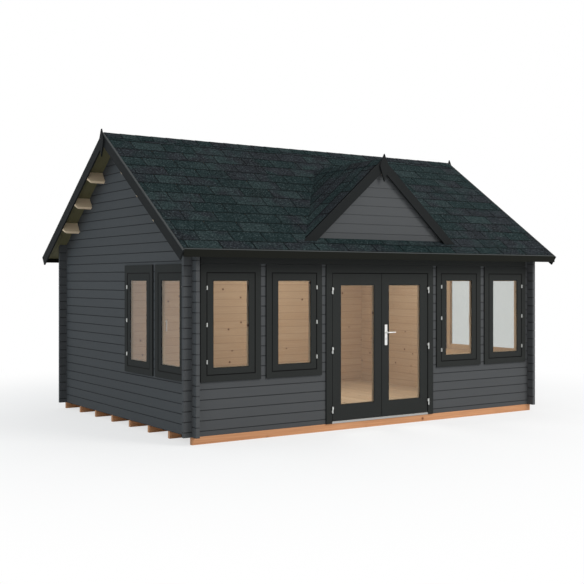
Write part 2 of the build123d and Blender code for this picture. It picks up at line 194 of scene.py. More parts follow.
class Finish(Nodes):
    """A material being made: its node tree and its Principled shader."""

    def __init__(self, name, **constants):
        self.material = bpy.data.materials.new(name)
        self.material.use_nodes = True
        super().__init__(self.material.node_tree)
        self.shader = self.tree.nodes["Principled BSDF"]
        for socket, value in constants.items():
            self.shader.inputs[socket.replace("_", " ")].default_value = value

    def place(self):
        """Object coordinates, which are the cabin's own metres."""
        return self.node("ShaderNodeTexCoord", output="Object")

    def attribute(self, name):
        """A number stored on the faces or corners of the piece."""
        return self.node("ShaderNodeAttribute", {"attribute_name": name}, output="Fac")

    def split(self, vector):
        """The three parts of a vector."""
        x = self.node("ShaderNodeSeparateXYZ", inputs={0: vector})
        return x, x.output("Y"), x.output("Z")

    def shifted(self, vector, amount, by):
        """A vector moved by an amount times a fixed step, so that each board differs."""
        step = self.node("ShaderNodeVectorMath", {"operation": "SCALE"}, {0: by, "Scale": amount})
        return self.node("ShaderNodeVectorMath", {"operation": "ADD"}, {0: vector, 1: step})

    def stretched(self, vector, along, fine, coarse):
        """A vector scaled so that a pattern is drawn out along one axis, or along none."""
        scale = [coarse if axis == along else fine for axis in "XYZ"]
        return self.node("ShaderNodeMapping", inputs={"Vector": vector, "Scale": scale})

    def noise(self, vector, scale, detail=2.0, roughness=0.5):
        """Smooth noise from 0 to 1."""
        return self.node(
            "ShaderNodeTexNoise",
            {"noise_dimensions": "3D"},
            {"Vector": vector, "Scale": scale, "Detail": detail, "Roughness": roughness},
        )

    def streaks(self, vector, along, fine, coarse, detail=4.0, roughness=0.6):
        """Noise drawn out along one axis, as the grain of wood is."""
        drawn_out = self.stretched(vector, along, fine, coarse)
        return self.noise(drawn_out, 1.0, detail, roughness)

    def mix(self, factor, first, second):
        """Mix two colours, each a colour or a Field."""
        colours = [c if isinstance(c, Field) else (*c, 1.0) for c in (first, second)]
        return self.node(
            "ShaderNodeMix",
            {"data_type": "RGBA", "clamp_factor": True},
            {0: factor, 6: colours[0], 7: colours[1]},
            output=2,
        )

    def darker(self, colour, factor):
        """A colour taken towards black by a factor from 0 to 1."""
        return self.mix(factor, colour, (0.0, 0.0, 0.0))

    def bump(self, height, distance, strength):
        """The normal over a height from 0 to 1 that stands for a distance in metres."""
        values = {"Height": height, "Distance": distance, "Strength": strength}
        return self.node("ShaderNodeBump", inputs=values)

    def feed(self, **values):
        """Link values to sockets of the shader, and give back the material."""
        for socket, value in values.items():
            self.join(value, self.shader.inputs[socket.replace("_", " ")])
        return self.material

    def surface(self, factor, first, second):
        """Mix two shaders for the surface, and give back the material."""
        mixed = self.node("ShaderNodeMixShader", inputs={0: factor, 1: first, 2: second})
        self.join(mixed, self.tree.nodes["Material Output"].inputs["Surface"])
        return self.material


def tints(colour, spread):
    """A colour's dark and light sides."""
    return [c * (1.0 - spread) for c in colour], [c * (1.0 + spread) for c in colour]


def pine_colour(finish, place, along, pine, through=None):
    """Knotty pine: growth lines along one axis, and knots on the face another goes through."""
    drift = finish.streaks(place, along, fine=5.0, coarse=0.6, detail=3.0, roughness=0.5)
    lines = finish.streaks(place, along, fine=70.0, coarse=1.8, detail=3.0)
    summer_growth = drift * 0.8 + lines * 0.8 - 0.35
    cells = finish.node(
        "ShaderNodeTexVoronoi",
        {"feature": "F1", "voronoi_dimensions": "3D"},
        {"Vector": finish.stretched(place, through, fine=6.5, coarse=0.3), "Scale": 1.0},
    )
    knotted = finish.split(cells.output("Color"))[0] < 0.55
    knot = (1.0 - cells.ramp(0.075, 0.13)) * knotted
    halo = (1.0 - cells.ramp(0.08, 0.26)) * knotted
    wood = finish.mix(summer_growth, pine.pale, pine.dark)
    wood = finish.mix(halo * 0.5, wood, pine.dark)
    return finish.mix(knot * 0.92, wood, pine.knot)


def indoors(finish, place, depth):
    """1 on what lies deeper than depth behind the walls' outer faces, else 0."""
    x, y, _ = finish.split(place)
    return (abs(x) < -wall_face_x - depth) * (abs(y) < -wall_face_y - depth)


def log_courses(z, first_joint):
    """Height to the nearest joint between two logs, and the number of the log."""
    course = (z - first_joint) / log_height
    to_joint = abs(course - (course + 0.5).floor()) * log_height
    rounding = 0.001
    return to_joint, (course + rounding).floor()


def painted_logs(name, along, first_joint, paint, pine, joint, bare_room=True):
    """Matt grey paint on spruce logs, with painted shade in the grooves between the logs, and bare
    pine on the room side.
    """
    finish = Finish(name, Specular_IOR_Level=0.08)
    place = finish.place()
    to_joint, log = log_courses(finish.split(place)[2], first_joint)
    seed = log * 1.37
    tone = finish.node("ShaderNodeTexWhiteNoise", {"noise_dimensions": "1D"}, {"W": seed})
    on_log = finish.shifted(place, log, (0.31, 0.43, 0.0))
    cloud = finish.streaks(on_log, along, fine=3.0, coarse=0.7, roughness=0.5)
    grain = finish.streaks(on_log, along, fine=60.0, coarse=2.0, roughness=0.65)
    shade = tone * 0.3 + cloud * 0.45 + grain * 0.5 - 0.1
    coat = finish.mix(shade, *tints(paint.logs, paint.spread))
    # Painted shade: the paint goes dark in the grooves between the logs, where shade falls.
    groove_shade = 1.0 - to_joint.ramp(0.0042, 0.0064)
    coat = finish.darker(coat, groove_shade * joint)
    if bare_room:
        wood = pine_colour(finish, on_log, along, pine, through="Y" if along == "X" else "X")
        seam = 1.0 - to_joint.ramp(0.001, 0.006)
        wood = finish.mix(seam * 0.45, wood, pine.seam)
        coat = finish.mix(indoors(finish, place, log_thickness / 2), coat, wood)
    normal = finish.bump(grain, distance=0.0007, strength=0.5)
    return finish.feed(Base_Color=coat, Roughness=grain * 0.2 + 0.68, Normal=normal)


def painted_boards(name, along, paint, pine, bare_depth=None):
    """Satin charcoal paint on planed wood, bare pine deeper than bare_depth."""
    finish = Finish(name, Specular_IOR_Level=0.06)
    place = finish.place()
    grain = finish.streaks(place, along, fine=60.0, coarse=2.5)
    cloud = finish.noise(place, scale=2.3, detail=3.0)
    coat = finish.mix(grain * 0.5 + cloud * 0.5, *tints(paint, spread=0.16))
    if bare_depth is not None:
        wood = pine_colour(finish, place, along, pine)
        coat = finish.mix(indoors(finish, place, bare_depth), coat, wood)
    roughness = cloud * 0.15 + grain * 0.15 + 0.52
    normal = finish.bump(grain, distance=0.0004, strength=0.4)
    return finish.feed(Base_Color=coat, Roughness=roughness, Normal=normal)


def bare_wood(name, along, pine, boards=False, outdoor_paint_and_shade=None, through=None):
    """Unpainted wood. Boards each have their own tone, and a given colour takes over the part
    outside the walls: painted shade under the eaves, the barge boards' charcoal on the gable's
    deck.
    """
    finish = Finish(name, Specular_IOR_Level=0.3)
    place = finish.place()
    on_board = place
    if boards:
        tone = finish.attribute("tone")
        on_board = finish.shifted(place, tone, (7.0, 5.0, 3.0))
    wood = pine_colour(finish, on_board, along, pine, through)
    if boards:
        wood = finish.darker(wood, tone * 0.16)
    grain = finish.streaks(on_board, along, fine=60.0, coarse=2.0)
    # Outside the walls the wood takes the given colour, which under the eaves is painted shade.
    if outdoor_paint_and_shade is not None:
        outdoor_paint_and_shade_tint = finish.mix(grain * 0.7 + 0.1, *tints(outdoor_paint_and_shade, spread=0.25))
        wood = finish.mix(indoors(finish, place, log_thickness / 2), outdoor_paint_and_shade_tint, wood)
    normal = finish.bump(grain, distance=0.0007, strength=0.5)
    return finish.feed(Base_Color=wood, Roughness=grain * 0.25 + 0.5, Normal=normal)


def felt_shingles(name, roof):
    """Mineral felt: patches that drift along each course, tabs of their own tone, granules, and
    painted shade along each tab's butt and in the slots between tabs.
    """
    finish = Finish(name, Roughness=0.92, Specular_IOR_Level=0.08)
    place = finish.place()
    tone = finish.attribute("tone")
    along_row = finish.shifted(place, finish.attribute("row"), (0.0, 0.0, 3.7))
    patch = finish.noise(along_row, scale=1.9, detail=2.0, roughness=0.6)
    hue = finish.noise(along_row, scale=1.1, detail=3.0, roughness=0.6)
    pebble = finish.noise(place, scale=52.0, detail=3.0, roughness=0.75)
    grit = finish.noise(place, scale=330.0, detail=2.0, roughness=0.8)
    colour = finish.mix((hue + tone * 0.26 - 0.13).ramp(0.42, 0.56), roof.teal, roof.slate)
    colour = finish.mix((patch + tone * 0.3 - 0.15).ramp(0.5, 0.7), colour, roof.pale)
    dark_patch = 1.0 - patch.ramp(0.26, 0.48)
    dark_pebble = 1.0 - pebble.ramp(0.38, 0.52)
    colour = finish.darker(colour, dark_patch * 0.35 + dark_pebble * 0.68)
    fleck = grit.ramp(0.54, 0.68) * 0.2 + pebble.ramp(0.53, 0.66) * 0.55
    colour = finish.mix(fleck, colour, roof.fleck)
    # Painted shade along each tab's butt, in the slots between tabs, on the starter strip and at
    # the caps' lifted ends.
    butt_shade = finish.attribute("down").ramp(roof.edge_start, 0.99)
    slot_shade = abs(finish.attribute("across") - 0.5).ramp(0.482, 0.494)
    colour = finish.darker(colour, (butt_shade | slot_shade) * roof.edge)
    normal = finish.bump(grit * 0.6 + pebble * 0.4, distance=0.0014, strength=0.8)
    return finish.feed(Base_Color=colour, Normal=normal)


def clear_glass(name):
    """Clear glass: a see-through sheet that mirrors more where it is seen at a slant."""
    finish = Finish(name)
    slant = finish.node("ShaderNodeLayerWeight", inputs={"Blend": 0.5}, output="Facing")
    shine = slant.math("POWER", slant, 5.0) * 0.96 + 0.035
    tint = (0.865, 0.875, 0.868, 1.0)
    through = finish.node("ShaderNodeBsdfTransparent", inputs={"Color": tint})
    mirror = finish.node("ShaderNodeBsdfAnisotropic", {"distribution": "GGX"}, {"Roughness": 0.0})
    return finish.surface(shine, through, mirror)


def brushed_metal(name, colour, roughness):
    """Satin metal with faint upright brushing."""
    finish = Finish(name, Metallic=1.0, Base_Color=(*colour, 1.0))
    brush = finish.streaks(finish.place(), "Z", fine=900.0, coarse=30.0, detail=2.0, roughness=0.5)
    return finish.feed(Roughness=brush * 0.15 + (roughness - 0.07))


def plain_coat(name, colour, roughness):
    """A thin even coat, or a seal's dark coat that is also painted shade in gaps, with a little
    dust.
    """
    finish = Finish(name, Specular_IOR_Level=0.05)
    dust = finish.noise(finish.place(), scale=9.0, detail=4.0, roughness=0.6)
    coat = finish.mix(dust, *tints(colour, spread=0.15))
    return finish.feed(Base_Color=coat, Roughness=dust * 0.2 + (roughness - 0.1))


def put(name, data):
    """Put an object into the scene."""
    made = bpy.data.objects.new(name, data)
    bpy.context.scene.collection.objects.link(made)
    return made


def to_mesh(name, build):
    """Turn a bmesh into a mesh."""
    mesh = bpy.data.meshes.new(name)
    build.to_mesh(mesh)
    build.free()
    return mesh


def new_piece(name, build, material, body="cabin", stands_for=()):
    """Make an object from a bmesh, with its material, slot, body and the nodes it replaces."""
    bmesh.ops.recalc_face_normals(build, faces=build.faces)
    piece = put(name, to_mesh(name, build))
    piece.data.materials.append(bpy.data.materials[material])
    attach(piece, body)
    for node in stands_for:
        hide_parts(node)


def dress(material, *names):
    """Give CAD nodes their finish."""
    for name in names:
        slots = nodes[name].material_slots
        if not slots:
            nodes[name].data.materials.append(material)
        for slot in slots:
            slot.material = material


def number_layer(parts, name):
    """The layer that stores a number on each vert or face, made where it is new."""
    return parts.layers.float.get(name) or parts.layers.float.new(name)


def mark(build, verts, **values):
    """Store numbers on the faces of one board or tab."""
    for name, value in values.items():
        layer = number_layer(build.faces, name)
        for face in {face for vert in verts for face in vert.link_faces}:
            face[layer] = value


def only(kind, geometry):
    """The parts of one kind in what a bmesh operator gave back."""
    return [part for part in geometry if isinstance(part, kind)]


def ease(build, edges, width, segments=1):
    """Bevel edges and return the new verts."""
    return bmesh.ops.bevel(
        build, geom=edges, offset=width, segments=segments, affect="EDGES", profile=0.5, material=-1
    )["verts"]


def rims(edges):
    """The edges round a bar's flat ends."""
    return [edge for edge in edges if any(len(face.verts) > 4 for face in edge.link_faces)]


def block(build, corner, opposite, bevel=0.0):
    """Add a box between two opposite corners, its edges eased by a bevel."""
    low = Vector([min(pair) for pair in zip(corner, opposite)])
    high = Vector([max(pair) for pair in zip(corner, opposite)])
    made = bmesh.ops.create_cube(build, size=1.0)["verts"]
    bmesh.ops.scale(build, vec=high - low, verts=made)
    bmesh.ops.translate(build, vec=(low + high) / 2, verts=made)
    if bevel > 0.0:
        made = ease(build, list({edge for vert in made for edge in vert.link_edges}), bevel)
    return made


def bar(build, x, ys, zs, half, bevel):
    """Add a box by its middle across, its depths, its heights and half its width."""
    return block(build, (x - half, ys[0], zs[0]), (x + half, ys[1], zs[1]), bevel)


def rod(build, start, end, radius, segments, bevel):
    """Add a round bar between two points, the rims of its ends eased."""
    start, end = Vector(start), Vector(end)
    along = end - start
    made = bmesh.ops.create_cone(
        build, cap_ends=True, segments=segments, radius1=radius, radius2=radius, depth=along.length
    )["verts"]
    turn = along.to_track_quat("Z", "Y").to_matrix().to_4x4()
    matrix = Matrix.Translation((start + end) / 2) @ turn
    bmesh.ops.transform(build, matrix=matrix, verts=made)
    eased = ease(build, rims({edge for vert in made for edge in vert.link_edges}), bevel)
    return eased + [vert for vert in made if vert.is_valid]


def ring(build, matrix, width, height, border, depth):
    """Add a flat rectangular ring on the matrix's XY plane, depth thick along its Z."""
    made = bmesh.ops.create_grid(build, x_segments=1, y_segments=1, size=0.5)["verts"]
    bmesh.ops.scale(build, vec=(width, height, 1.0), verts=made)
    middle = made[0].link_faces[0]
    band = bmesh.ops.inset_individual(
        build, faces=[middle], thickness=border, use_even_offset=True
    )["faces"]
    bmesh.ops.delete(build, geom=[middle], context="FACES")
    lifted = only(bmesh.types.BMVert, bmesh.ops.extrude_face_region(build, geom=band)["geom"])
    bmesh.ops.translate(build, vec=(0.0, 0.0, depth), verts=lifted)
    verts = list({vert for face in band for vert in face.verts} | set(lifted))
    bmesh.ops.transform(build, matrix=matrix, verts=verts)


def cut_away(build, point, beyond):
    """Cut off what lies beyond a plane and close the cut."""
    geometry = build.verts[:] + build.edges[:] + build.faces[:]
    cut = bmesh.ops.bisect_plane(
        build, geom=geometry, dist=merge_distance, plane_co=point, plane_no=beyond, clear_outer=True
    )["geom_cut"]
    bmesh.ops.holes_fill(build, edges=only(bmesh.types.BMEdge, cut), sides=0)


def trim_slope(build, side, low_edge):
    """Cut one slope's boards or strips off at the ridge and at their low edge."""
    cut_away(build, (0.0, side * half_mitre, 0.0), (0.0, -side, 0.0))
    cut_away(build, (0.0, side * low_edge, 0.0), (0.0, side, 0.0))


def slope_matrix(top, along, down):
    """From (along the top edge, down the slope, out of the roof) to the cabin's frame."""
    along, down = Vector(along), Vector(down)
    normal = along.cross(down)
    if normal.z < 0.0:
        normal.negate()
    columns = Matrix((along, down, normal)).transposed().to_4x4()
    return Matrix.Translation(Vector(top)) @ columns


def main_slope(side):
    """Matrix of the front slope (side -1) or the back slope (side 1)."""
    down = (0.0, side * math.cos(roof_pitch), -math.sin(roof_pitch))
    return slope_matrix((0.0, 0.0, ridge_z), (1.0, 0.0, 0.0), down)


def plank_row(build, matrix, span, ends, faces, width, gap, bevel, chance):
    """Planks side by side over a span, each with its own tone."""
    count = round((span[1] - span[0]) / width)
    pitch = (span[1] - span[0]) / count
    for number in range(count):
        left = span[0] + number * pitch
        corner = (left + gap / 2, ends[0], faces[0])
        opposite = (left + pitch - gap / 2, ends[1], faces[1])
        made = block(build, corner, opposite, bevel)
        bmesh.ops.transform(build, matrix=matrix, verts=made)
        mark(build, made, tone=chance.random())


def butt_lines(first, course, reach):
    """How far down a slope each course ends: the first, then one after another to a reach."""
    lines = [0.0, first]
    while lines[-1] + course < reach:
        lines.append(lines[-1] + course)
    return lines


def shingle_courses(build, matrix, span, butts, roof, chance):
    """Courses of tabs between the butt lines, joints half a tab apart, over a starter strip."""
    down = number_layer(build.verts, "down")
    across = number_layer(build.verts, "across")
    for row, (upper, butt) in enumerate(zip(butts, butts[1:])):
        tucked = max(upper - roof.course * roof.headlap, 0.0)
        offset = roof.first_joint + 0.5 * roof.tab * (row % 2)
        left = offset + math.floor((span[0] - offset) / roof.tab) * roof.tab
        while left < span[1]:
            near = max(left + roof.slot / 2, span[0])
            far = min(left + roof.tab - roof.slot / 2, span[1])
            left += roof.tab
            if far - near < roof.slot:
                continue
            made = block(build, (near, tucked, -roof.felt), (far, butt, 0.0))
            for vert in made:
                above_butt = (butt - vert.co.y) / roof.course
                vert.co.z -= min(above_butt * roof.felt, shingle_thickness - roof.felt)
                # down and across tell where the painted shade along the butt and at the slots
                # falls.
                vert[down] = 1.0 - above_butt / (1.0 + roof.headlap)
                vert[across] = 0.0 if vert.co.x < (near + far) / 2 else 1.0
            bmesh.ops.transform(build, matrix=matrix, verts=made)
            mark(build, made, tone=chance.random(), row=float(row))
    sunk = -roof.felt * 1.3
    starter = block(build, (span[0], butts[-3], -shingle_thickness), (span[1], butts[-1], sunk))
    # The starter strip shows only in the slots, so it is all drawn in painted shade.
    for vert in starter:
        vert[down], vert[across] = 1.0, 0.5
    bmesh.ops.transform(build, matrix=matrix, verts=starter)


def ridge_cap(build, matrix, near, far, pitch, roof):
    """One folded cap that lies over both slopes, its near end lifted over the next one."""
    down = number_layer(build.verts, "down")
    across = number_layer(build.verts, "across")
    made = bmesh.ops.create_grid(build, x_segments=2, y_segments=1, size=0.5)["verts"]
    half = roof.cap_half * math.cos(pitch)
    far_lift, thickness = 0.0002, roof.felt * 0.8
    for vert in made:
        aside = 2.0 * half * vert.co.x
        at_near = vert.co.y < 0.0
        rise = (roof.cap_lift if at_near else far_lift) - abs(aside) * math.tan(pitch)
        vert.co = (aside, near if at_near else far, rise)
        # The lifted end gets painted shade along its butt.
        vert[down] = 1.0 if at_near else 0.0
        vert[across] = 0.5
    faces = list({face for vert in made for face in vert.link_faces})
    lifted = only(bmesh.types.BMVert, bmesh.ops.extrude_face_region(build, geom=faces)["geom"])
    bmesh.ops.translate(build, vec=(0.0, 0.0, thickness), verts=lifted)
    bmesh.ops.transform(build, matrix=matrix, verts=made + lifted)
    return made + lifted


def setting(kind, **options):
    """A maker of one kind of setting, from a name, a description and a default."""

    def make(name, description, default):
        return kind(name=name, description=description, default=default, **options)

    return make


colour = setting(bpy.props.FloatVectorProperty, subtype="COLOR")
spot = setting(bpy.props.FloatVectorProperty, subtype="XYZ", unit="LENGTH")
length = setting(bpy.props.FloatProperty, unit="LENGTH")
share = setting(bpy.props.FloatProperty, subtype="FACTOR")
angle = setting(bpy.props.FloatProperty, subtype="ANGLE")
power = setting(bpy.props.FloatProperty, unit="POWER")
number = setting(bpy.props.FloatProperty)


class CabinPaint(bpy.types.PropertyGroup):
    """Colours of the painted walls and joinery."""

    logs: colour("Logs", "Paint on the log walls", (0.075, 0.0785, 0.082))
    spread: share("Log spread", "How far the logs' tone goes up and down", 0.12)
    # Painted shade: how dark the paint is drawn in the grooves between the logs, on the walls and
    # in the front gable.
    joint: share("Joint", "How dark the joints between logs are", 0.5)
    gable_joint: share("Gable joint", "How dark the joints in the front gable are", 0.0)
    joinery: colour("Joinery", "Paint on frames, sashes and doors", (0.0250, 0.0268, 0.0260))
    boards: colour("Roof boards", "Paint on barge boards and finials", (0.0135, 0.015, 0.0155))
    fascia: colour("Fascia", "Paint on the fascias", (0.009, 0.0096, 0.0075))
    strip: colour("Strips", "Coated drip strips on the roof's edges", (0.062, 0.067, 0.067))
    # Also painted shade: the dark ring round each sash and the dark strips round the door leaves
    # take this colour.
    rubber: colour("Seals", "Rubber seals round the glass", (0.004, 0.004, 0.004))


class CabinPine(bpy.types.PropertyGroup):
    """Colours of bare wood."""

    pale: colour("Pale", "Spring growth", (0.64, 0.48, 0.31))
    dark: colour("Dark", "Summer growth", (0.47, 0.305, 0.165))
    knot: colour("Knot", "Knots", (0.13, 0.05, 0.02))
    seam: colour("Seam", "Lines between the logs indoors", (0.20, 0.11, 0.055))
    # Painted shade: a dark olive for the roof boards' underside outside the walls, where shade
    # falls.
    soffit: colour("Soffit", "Roof boards outdoors", (0.125, 0.115, 0.058))


class CabinLitPurlins(bpy.types.PropertyGroup):
    """Colours of the purlins: paler than the other pine, as painted light for the light that falls
    on them.
    """

    pale: colour("Pale", "Spring growth", (0.88, 0.71, 0.50))
    dark: colour("Dark", "Summer growth", (0.70, 0.52, 0.34))
    knot: colour("Knot", "Knots", (0.25, 0.12, 0.05))


class CabinBearers(bpy.types.PropertyGroup):
    """Colours of the treated bearers."""

    pale: colour("Pale", "Spring growth", (0.72, 0.37, 0.185))
    dark: colour("Dark", "Summer growth", (0.34, 0.135, 0.055))
    knot: colour("Knot", "Knots", (0.16, 0.06, 0.025))


class CabinRoof(bpy.types.PropertyGroup):
    """Sizes and colours of the shingles and roof boards."""

    tab: length("Tab", "Width of one shingle tab", 0.43)
    course: length("Course", "Height of a course that shows", 0.2053)
    top_course: length("Top course", "Height of the course at the ridge", 0.18)
    headlap: share("Headlap", "Share of a course that lies under the one above", 0.9)
    slot: length("Slot", "Gap between two tabs", 0.007)
    first_joint: length("First joint", "Place of a joint in the top course", -0.227)
    felt: length("Felt", "Thickness of the felt", 0.004)
    cap_half: length("Cap", "Width of a ridge cap on each slope", 0.125)
    cap_show: length("Cap course", "Length of a ridge cap that shows", 0.21)
    cap_lift: length("Cap lift", "Height of a cap's open end over the slopes", 0.0042)
    board: length("Roof board", "Width of a roof board", 0.096)
    floor_board: length("Floor board", "Width of a floor board", 0.112)
    # Painted shade: how dark the tabs' butts, the slots and the starter strip are drawn, and where
    # on a tab that shade starts.
    edge: share("Edge", "How dark the cut edges of the tabs are", 0.75)
    edge_start: share("Edge start", "Share of a tab's length above its dark edge", 0.94)
    teal: colour("Teal", "Green-blue granules", (0.0075, 0.0195, 0.0205))
    slate: colour("Slate", "Blue-purple granules", (0.0148, 0.0175, 0.0225))
    pale: colour("Pale", "Pale green granules", (0.019, 0.034, 0.035))
    fleck: colour("Fleck", "Pale single granules", (0.092, 0.118, 0.123))


class CabinFittings(bpy.types.PropertyGroup):
    """Sizes of hinges, seals, beads and handles, and the colours of their metals."""

    window_hinge: length("Window hinge", "Height of a window hinge", 0.045)
    hinge_radius: length("Hinge radius", "Radius of a window hinge's barrel", 0.0065)
    seal: length("Seal", "Width of the rubber seals", 0.004)
    # Painted shade: width of the dark ring in the gap round each sash; the door leaves' dark strips
    # are half as wide.
    gasket: length("Gasket", "Width of the gasket round a window sash", 0.011)
    meeting: length("Meeting seal", "Width of the seal between the doors", 0.007)
    bead: length("Bead", "Width of the glazing beads", 0.010)
    lever_radius: length("Lever radius", "Radius of the lever's bar", 0.0078)
    lever_bend: length("Lever bend", "Radius of the lever's bends", 0.02)
    steel: colour("Steel", "Satin steel", (0.82, 0.82, 0.80))
    zinc: colour("Zinc", "Bright zinc on the hinges", (0.64, 0.65, 0.63))
    mill: colour("Mill finish", "Plain aluminium of the threshold", (0.40, 0.40, 0.39))


class CabinStudio(bpy.types.PropertyGroup):
    """Camera, lamps and floor."""

    eye: spot("Camera", "Place of the camera", (-7.7167, -11.4627, 1.8072))
    turn: angle("Turn", "Camera's turn to the right of +Y", math.radians(33.732))
    rise: number("Rise", "Upright shift of the level camera's frame", -0.02014)
    lens: number("Lens", "Focal length in mm", 60.634)
    sky: number("Sky", "Strength of the even light", 0.66)
    key: power("Key", "Power of the key lamp in watts", 1500.0)
    shade: power("Cool", "Power of the cool lamp on the left in watts", 160.0)
    room: power("Room", "Power of the lamp under the ridge in watts", 64.0)


class CABIN_OT_paint(bpy.types.Operator):
    """Paint and finish the pieces that keep their own shape."""

    bl_idname = "cabin.paint"
    bl_label = "Paint the cabin"

    def execute(self, context):
        paint = context.scene.cabin_paint
        pine = context.scene.cabin_pine
        fittings = context.scene.cabin_fittings
        frames, sashes, panes = (
            [f"{group}_window_{part}" for group in window_walls]
            for part in ("frames", "sashes", "panes")
        )
        front_joint = log_base + log_height / 2
        front = painted_logs("log_paint_front", "X", front_joint, paint, pine, paint.joint)
        gable = painted_logs(
            "log_paint_gable", "X", dormer_first_joint, paint, pine, paint.gable_joint, False
        )
        side = painted_logs("log_paint_side", "Y", log_base, paint, pine, paint.joint)
        dress(front, "front_wall_left", "front_wall_right", "front_wall_top", "back_wall")
        dress(gable, "dormer_wall")
        dress(side, "left_wall", "right_wall")
        outer = painted_boards("frame_paint", "Z", paint.joinery, pine, bare_depth=0.05)
        inner = painted_boards("sash_paint", "Z", paint.joinery, pine, bare_depth=0.001)
        dress(outer, "door_frame", *frames)
        dress(inner, "left_door_leaf", "right_door_leaf", *sashes)
        barges = painted_boards("barge_paint", "Y", paint.boards, pine)
        dress(barges, "left_barge_boards", "right_barge_boards", "dormer_barge_boards", "finials")
        fascias = painted_boards("fascia_paint", "X", paint.fascia, pine)
        dress(fascias, "front_fascia", "back_fascia")
        # The purlins take a paler pine: painted light.
        dress(bare_wood("purlin_lit_pine", "X", context.scene.cabin_purlins), "purlins")
        dress(bare_wood("dormer_deck_pine", "Y", pine, outdoor_paint_and_shade=paint.boards), "dormer_deck")
        dress(bare_wood("treated_pine", "X", context.scene.cabin_bearers), "floor_bearers")
        dress(clear_glass("clear_glass"), "left_door_pane", "right_door_pane", *panes)
        steel = brushed_metal("satin_steel", fittings.steel, roughness=0.32)
        dress(steel, "door_handle_plates")
        mill = brushed_metal("mill_aluminium", fittings.mill, roughness=0.5)
        dress(mill, "door_threshold")
        zinc = brushed_metal("bright_zinc", fittings.zinc, roughness=0.38)
        dress(zinc, "door_hinge_pins", "left_door_hinges", "right_door_hinges")
        return {"FINISHED"}


class CABIN_OT_shingles(bpy.types.Operator):
    """Lay the shingle tabs of the roof and of the front gable, course over course."""

    bl_idname = "cabin.shingles"
    bl_label = "Lay the shingles"

    def execute(self, context):
        roof = context.scene.cabin_roof
        felt_shingles("felt_shingles", roof)
        narrowest = roof.course / 4
        butts = butt_lines(roof.top_course, roof.course, slope_length - narrowest)
        butts.append(slope_length)
        for side, name in ((-1, "front"), (1, "back")):
            build = bmesh.new()
            chance = random.Random(f"{name} slope")
            shingle_courses(build, main_slope(side), roof_span, butts, roof, chance)
            self.lay(f"{name}_shingle_tabs", build, f"{name}_shingles")
        self.gable(roof)
        return {"FINISHED"}

    def lay(self, name, build, replaced):
        """Make a piece of tabs in place of a plain slab."""
        new_piece(name, build, "felt_shingles", stands_for=[replaced])

    def gable(self, roof):
        """Courses that run up the gable's two slopes, cut where they meet the main roof."""
        build = bmesh.new()
        butts = butt_lines(roof.course, roof.course, dormer_high.y - dormer_low.y)
        span = (0.0, dormer_high.x / math.cos(dormer_pitch))
        back = (0.0, dormer_high.y, dormer_high.z)
        for side in (-1, 1):
            run = (side * math.cos(dormer_pitch), 0.0, -math.sin(dormer_pitch))
            matrix = slope_matrix(back, run, (0.0, -1.0, 0.0))
            shingle_courses(build, matrix, span, butts, roof, random.Random(f"gable {side}"))
        below = Vector((0.0, math.sin(roof_pitch), -math.cos(roof_pitch)))
        cut_away(build, Vector((0.0, 0.0, ridge_z)) + below * shingle_thickness, below)
        self.lay("dormer_shingle_tabs", build, "dormer_shingles")


class CABIN_OT_ridge(bpy.types.Operator):
    """Fold the lapped caps over both ridges."""

    bl_idname = "cabin.ridge"
    bl_label = "Cap the ridges"

    def execute(self, context):
        roof = context.scene.cabin_roof
        build = bmesh.new()
        chance = random.Random("ridge caps")
        along_x = Matrix.Rotation(-quarter_turn, 4, "Z")
        main = Matrix.Translation((0.0, 0.0, ridge_z)) @ along_x
        small = Matrix.Translation((0.0, 0.0, dormer_high.z))
        small_end = -(ridge_z - dormer_high.z) / math.tan(roof_pitch)
        lapped = 1.3
        for matrix, start, end, pitch in (
            (main, *roof_span, roof_pitch),
            (small, dormer_low.y, small_end, dormer_pitch),
        ):
            count = round((end - start) / roof.cap_show)
            show = (end - start) / count
            for number in range(count):
                near = start + number * show
                far = min(near + show * lapped, end)
                made = ridge_cap(build, matrix, near, far, pitch, roof)
                mark(build, made, tone=chance.random(), row=number * 0.5)
        replaced = ["ridge_caps"]
        new_piece("ridge_cap_tabs", build, "felt_shingles", stands_for=replaced)
        return {"FINISHED"}


class CABIN_OT_boards(bpy.types.Operator):
    """Lay the roof boards under the shingles and the floor boards."""

    bl_idname = "cabin.boards"
    bl_label = "Lay the boards"

    def execute(self, context):
        roof = context.scene.cabin_roof
        pine = context.scene.cabin_pine
        # The roof boards outside the walls take a dark olive as painted shade.
        bare_wood("roof_board_pine", "Y", pine, boards=True, outdoor_paint_and_shade=pine.soffit, through="Z")
        bare_wood("floor_board_pine", "Y", pine, boards=True, through="Z")
        faces = (-shingle_thickness - deck_thickness, -shingle_thickness)
        ends = (-deck_thickness * 2, slope_length + deck_thickness)
        for side, name in ((-1, "front"), (1, "back")):
            build = bmesh.new()
            chance = random.Random(f"{name} boards")
            plank_row(
                build, main_slope(side), roof_span, ends, faces,
                width=roof.board, gap=0.001, bevel=0.0016, chance=chance,
            )
            trim_slope(build, side, eave_y)
            self.lay(f"{name}_deck_boards", build, "roof_board_pine", f"{name}_roof_deck")
        build = bmesh.new()
        span, ends, faces = zip(floor_low, floor_high)
        plank_row(
            build, Matrix(), span, ends, faces,
            width=roof.floor_board, gap=0.0012, bevel=0.001, chance=random.Random("floor boards"),
        )
        self.lay("floor_planks", build, "floor_board_pine", "floor_boards")
        return {"FINISHED"}

    def lay(self, name, build, material, replaced):
        """Make a piece of boards in place of a plain slab."""
        new_piece(name, build, material, stands_for=[replaced])


